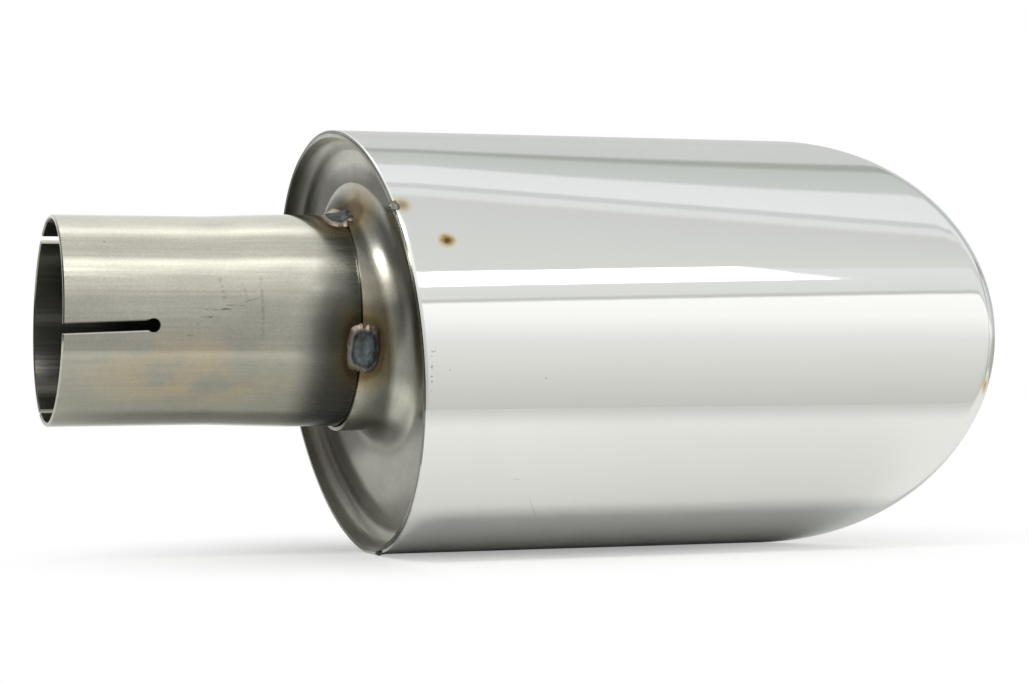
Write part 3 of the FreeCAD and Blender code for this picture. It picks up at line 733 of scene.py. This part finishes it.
def mill_steel():
    """Drawn tube with fine streaks along it, soft stains, scratches and heat tints, with painted shade at its
    end by the plate and on its inside.
    """
    material, tree, shader = new_material("mill_steel", PIPE_COLOUR, 0.15)
    place = Place(tree)
    colour = opaque(PIPE_COLOUR)
    streaks = place.noise((22.0, 1100.0, 1100.0), 4.0, 0.55, 1.0)
    clouds = place.noise((70.0, 110.0, 110.0), 4.0, 0.55, 2.0)
    grain = place.noise((1500.0, 1500.0, 1500.0), 2.0, 0.6, 3.0)
    colour = blend_colours(tree, 1.0, colour, wobble(tree, streaks, 0.07), "MULTIPLY")
    colour = blend_colours(tree, 1.0, colour, wobble(tree, clouds, 0.09), "MULTIPLY")
    colour = blend_colours(tree, 1.0, colour, wobble(tree, grain, 0.06), "MULTIPLY")
    low_side = rise(tree, place.spot(34.0, 210.0, PIPE_RADIUS, 36.0, 15.0), 0.35, 1.0, 1.0, 0.0)
    stain = calc(tree, "MULTIPLY", low_side, rise(tree, clouds, 0.40, 0.56))
    colour = blend_colours(tree, stain, colour, (1.14, 1.02, 0.87), "MULTIPLY")
    for clock, station, half_length, half_width, *_ in NECK_TACKS:
        colour = heat_tint(tree, place, colour, station, clock, PIPE_SEAT_RADIUS, half_length, half_width)
    marks = None
    for station, clock, length, width, slant, depth in PIPE_MARKS:
        mark = calc(tree, "MULTIPLY", place.scratch(station, clock, PIPE_RADIUS, length, width, slant), depth)
        marks = calc(tree, "MAXIMUM", marks, mark) if marks else mark
    broken = rise(tree, place.noise((380.0, 900.0, 900.0), 2.0, 0.5, 4.0), 0.4, 0.6)
    marks = calc(tree, "MULTIPLY", marks, broken)
    colour = blend_colours(tree, marks, colour, (0.14, 0.135, 0.12))
    # Painted shade and painted reflection: the end by the plate is darkened beyond its weld dulling.
    stain_and_painted_light = haze(tree, place)
    colour = blend_colours(tree, 1.0, colour, stain_and_painted_light, "MULTIPLY")
    # Painted shade: the tube's inside is darkened in its colour.
    inside = rise(tree, place.radius, 28.2, 28.4, 1.0, 0.0)
    colour = blend_colours(tree, calc(tree, "MULTIPLY", inside, 0.6), colour, (0.16, 0.165, 0.15))
    link(tree, colour, shader, "Base Color")
    finish = rise(tree, streaks, 0.3, 0.7, 0.10, 0.16, "LINEAR")
    finish = total(tree, finish, calc(tree, "MULTIPLY", marks, 0.2), calc(tree, "MULTIPLY", inside, 0.10))
    finish = total(tree, finish, rise(tree, stain_and_painted_light, 0.4, 1.0, 0.14, 0.0))
    link(tree, finish, shader, "Roughness")
    soft = rise(tree, place.along, SWAGE_SOFT_START, SWAGE_SOFT_END, 0.0, SWAGE_RISE)
    straight = rise(tree, place.along, SWAGE_START, SWAGE_END, 0.0, SWAGE_RISE, "LINEAR")
    normal = bump(tree, calc(tree, "SUBTRACT", soft, straight), MM)
    waves = place.noise((45.0, 260.0, 260.0), 2.0, 0.5, 5.0)
    normal = bump(tree, waves, 9.0e-6, 1.0, normal)
    normal = bump(tree, streaks, 1.6e-6, 1.0, normal)
    normal = bump(tree, grain, 1.6e-6, 1.0, normal)
    link(tree, normal, shader, "Normal")
    return material


FACE_START = (36.5, 40.0)
FACE_END = (49.0, 53.0)
FACE_ROUGHNESS = 0.15
# Patches that scale the plate's colour: partly stains, partly painted highlights, painted shade and painted
# reflection.
PLATE_STAINS_AND_PAINTED_LIGHT = (
    # clock, half width in degrees, distance from the pipe's axis, half depth, share of the colour kept
    (191.0, 36.0, 38.5, 8.5, (0.3, 0.3, 0.29)),
    (92.0, 30.0, 47.0, 9.5, (2.35, 2.35, 2.4)),
    (44.0, 32.0, 55.0, 11.0, (0.35, 0.35, 0.34)),
    (150.0, 16.0, 46.0, 10.0, (2.3, 2.2, 1.95)),
    (228.0, 22.0, 32.5, 6.0, (2.2, 2.2, 2.2)),
    (163.0, 12.0, 32.0, 4.0, (1.7, 1.65, 1.55)),
    (12.0, 24.0, 60.0, 12.0, (0.42, 0.42, 0.41)),
    (251.0, 16.0, 63.0, 12.0, (0.34, 0.34, 0.33)),
)


def pressed_steel():
    """Sheet with the soft wipes and stretch marks that pressing leaves, and patches of stain and painted light
    and shade.
    """
    material, tree, shader = new_material("pressed_steel", PLATE_COLOUR, 0.3)
    place = Place(tree)
    colour = opaque(PLATE_COLOUR)
    clouds = place.noise((90.0, 60.0, 60.0), 4.0, 0.6, 11.0)
    drawn = place.noise((900.0, 160.0, 160.0), 3.0, 0.5, 12.0)
    grain = place.noise((1300.0, 1300.0, 1300.0), 2.0, 0.6, 13.0)
    colour = blend_colours(tree, 1.0, colour, wobble(tree, clouds, 0.14), "MULTIPLY")
    colour = blend_colours(tree, 1.0, colour, wobble(tree, drawn, 0.06), "MULTIPLY")
    colour = blend_colours(tree, 1.0, colour, wobble(tree, grain, 0.07), "MULTIPLY")
    near = rise(tree, place.radius, 34.0, 42.0, 1.0, 0.0)
    # Painted light and shade: these patches lighten and darken the plate in place of highlights, shade and
    # reflections as well as stains.
    for clock, half_turn, radius, half_depth, stain_and_painted_light in PLATE_STAINS_AND_PAINTED_LIGHT:
        mask = place.patch(clock, half_turn, radius, half_depth)
        colour = blend_colours(tree, mask, colour, stain_and_painted_light, "MULTIPLY")
    for clock, station, half_length, half_width, *_ in NECK_TACKS:
        colour = heat_tint(tree, place, colour, station, clock, NECK_RADIUS, half_length, half_width, near)
    link(tree, colour, shader, "Base Color")
    bent = rise(tree, place.radius, *FACE_START, 1.0, 0.0)
    bent = calc(tree, "MAXIMUM", bent, rise(tree, Place(tree, SHELL_DROP).radius, *FACE_END))
    finish = blend_numbers(tree, bent, FACE_ROUGHNESS, rise(tree, clouds, 0.3, 0.7, 0.30, 0.40, "LINEAR"))
    link(tree, finish, shader, "Roughness")
    waves = place.noise((120.0, 45.0, 45.0), 3.0, 0.5, 14.0)
    normal = bump(tree, waves, 3.0e-5)
    normal = bump(tree, grain, 2.5e-6, 1.0, normal)
    link(tree, normal, shader, "Normal")
    return material


def weld_steel():
    """Blue-grey weld metal with a dark border, a paler, brownish edge and slag in its hollows."""
    material, tree, shader = new_material("weld_metal", (0.12, 0.14, 0.15), 0.5)
    place = Place(tree)
    clouds = place.noise((420.0, 420.0, 420.0), 3.0, 0.6, 21.0)
    grain = place.noise((1800.0, 1800.0, 1800.0), 2.0, 0.6, 22.0)
    colour = colour_ramp(
        tree,
        rise(tree, clouds, 0.3, 0.7, shape="LINEAR"),
        ((0.0, (0.085, 0.10, 0.108)), (0.5, (0.145, 0.172, 0.185)), (1.0, (0.22, 0.245, 0.26))),
    )
    for clock, station, half_length, half_width, _, crater_x, crater_arc in NECK_TACKS:
        spot = place.spot(station, clock, NECK_RADIUS, half_length, half_width, 3.0)
        spot = calc(tree, "MULTIPLY_ADD", calc(tree, "SUBTRACT", clouds, 0.5), 0.14, spot)
        border = calc(tree, "MULTIPLY", rise(tree, spot, 0.50, 0.60), rise(tree, spot, 0.66, 0.76, 1.0, 0.0))
        colour = blend_colours(tree, calc(tree, "MULTIPLY", border, 0.6), colour, (0.055, 0.055, 0.05))
        ring = calc(tree, "MULTIPLY", rise(tree, spot, 0.66, 0.78), rise(tree, spot, 1.3, 1.5, 1.0, 0.0))
        tone = colour_ramp(
            tree,
            spot,
            ((0.74, (0.29, 0.262, 0.235)), (0.86, (0.245, 0.205, 0.165)), (1.0, (0.13, 0.095, 0.065))),
        )
        colour = blend_colours(tree, ring, colour, tone)
        turn = math.degrees(crater_arc / NECK_RADIUS)
        pit = place.spot(station + crater_x, clock + turn, NECK_RADIUS, 1.5, 1.6)
        colour = blend_colours(tree, rise(tree, pit, 0.5, 1.1, 0.6, 0.0), colour, (0.07, 0.075, 0.065))
    colour = blend_colours(tree, rise(tree, place.radius, 40.0, 45.0), colour, (0.15, 0.148, 0.13))
    link(tree, colour, shader, "Base Color")
    link(tree, rise(tree, clouds, 0.3, 0.7, 0.6, 0.42, "LINEAR"), shader, "Roughness")
    normal = bump(tree, clouds, 1.0e-4)
    normal = bump(tree, grain, 1.2e-5, 1.0, normal)
    link(tree, normal, shader, "Normal")
    return material


def give_material(piece, material):
    piece.data.materials.clear()
    piece.data.materials.append(material)


def make_floor():
    """Pale sheet whose tone falls off to the front and the inlet as painted shade, and which the camera sees
    fade to white.
    """
    mesh = bpy.data.meshes.new("floor")
    low = -(SHELL_RADIUS + SHELL_DROP) * MM
    corners = [
        (FLOOR_LEFT, FLOOR_FRONT),
        (FLOOR_RIGHT, FLOOR_FRONT),
        (FLOOR_RIGHT, FLOOR_BACK),
        (FLOOR_LEFT, FLOOR_BACK),
    ]
    mesh.from_pydata([(x, y, low) for x, y in corners], [], [(0, 1, 2, 3)])
    floor = bpy.data.objects.new("floor", mesh)
    bpy.context.scene.collection.objects.link(floor)
    material = bpy.data.materials.new("floor")
    material.use_nodes = True
    tree = material.node_tree
    tree.nodes.clear()
    place = node(tree, "ShaderNodeTexCoord").outputs["Object"]
    spread = node(tree, "ShaderNodeSeparateXYZ", {0: place}).outputs
    # Painted shade: the floor's tone is darkened along its front edge and round the pipe's end.
    front_painted_shade = rise(tree, spread[1], FLOOR_FRONT, -0.088, FLOOR_FRONT_SHADE, 1.0)
    inlet_painted_shade = product(
        tree,
        rise(tree, spread[0], -0.09, 0.03),
        rise(tree, spread[0], 0.084, 0.098, 1.0, 0.0),
        rise(tree, spread[1], -0.105, -0.08),
    )
    shade = calc(tree, "MULTIPLY", front_painted_shade, blend_numbers(tree, inlet_painted_shade, 1.0, FLOOR_INLET_SHADE))
    tone = blend_colours(tree, 1.0, FLOOR_TONE, shade, "MULTIPLY")
    paper = node(tree, "ShaderNodeBsdfDiffuse", {0: tone}).outputs[0]
    white = node(tree, "ShaderNodeEmission", {0: (1.0, 1.0, 1.0, 1.0), 1: 1.0}).outputs[0]
    offset = node(tree, "ShaderNodeVectorMath", {0: place, 1: (FLOOR_MIDDLE, 0.0, low)}, operation="SUBTRACT")
    axes = node(tree, "ShaderNodeSeparateXYZ", {0: offset.outputs[0]}).outputs
    along = calc(tree, "MULTIPLY", axes[0], 0.55)
    square = calc(tree, "ADD", calc(tree, "MULTIPLY", along, along), calc(tree, "MULTIPLY", axes[1], axes[1]))
    away = calc(tree, "SQRT", square)
    fade = rise(tree, away, 0.015, 0.10, 0.35, 1.0)
    seen = node(tree, "ShaderNodeLightPath").outputs["Is Camera Ray"]
    factor = calc(tree, "MULTIPLY", fade, seen)
    shown = node(tree, "ShaderNodeMixShader", {0: factor, 1: paper, 2: white}).outputs[0]
    node(tree, "ShaderNodeOutputMaterial", {0: shown})
    mesh.materials.append(material)


def dress(piece, replaced, material):
    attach(piece, "root")
    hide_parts(replaced)
    give_material(piece, material)


def main():
    bpy.context.scene.view_settings.view_transform = "Standard"
    make_world()
    make_camera()
    make_lamp("key", **KEY_LAMP)
    make_floor()
    weld = weld_steel()
    dress(make_shell(), "outer_shell", polished_steel())
    dress(make_neck_tacks(), "neck_tack_welds", weld)
    dress(make_rim_tacks(), "rim_tack_welds", weld)
    give_material(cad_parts["end_plate"], pressed_steel())
    give_material(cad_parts["inlet_pipe"], mill_steel())


main()
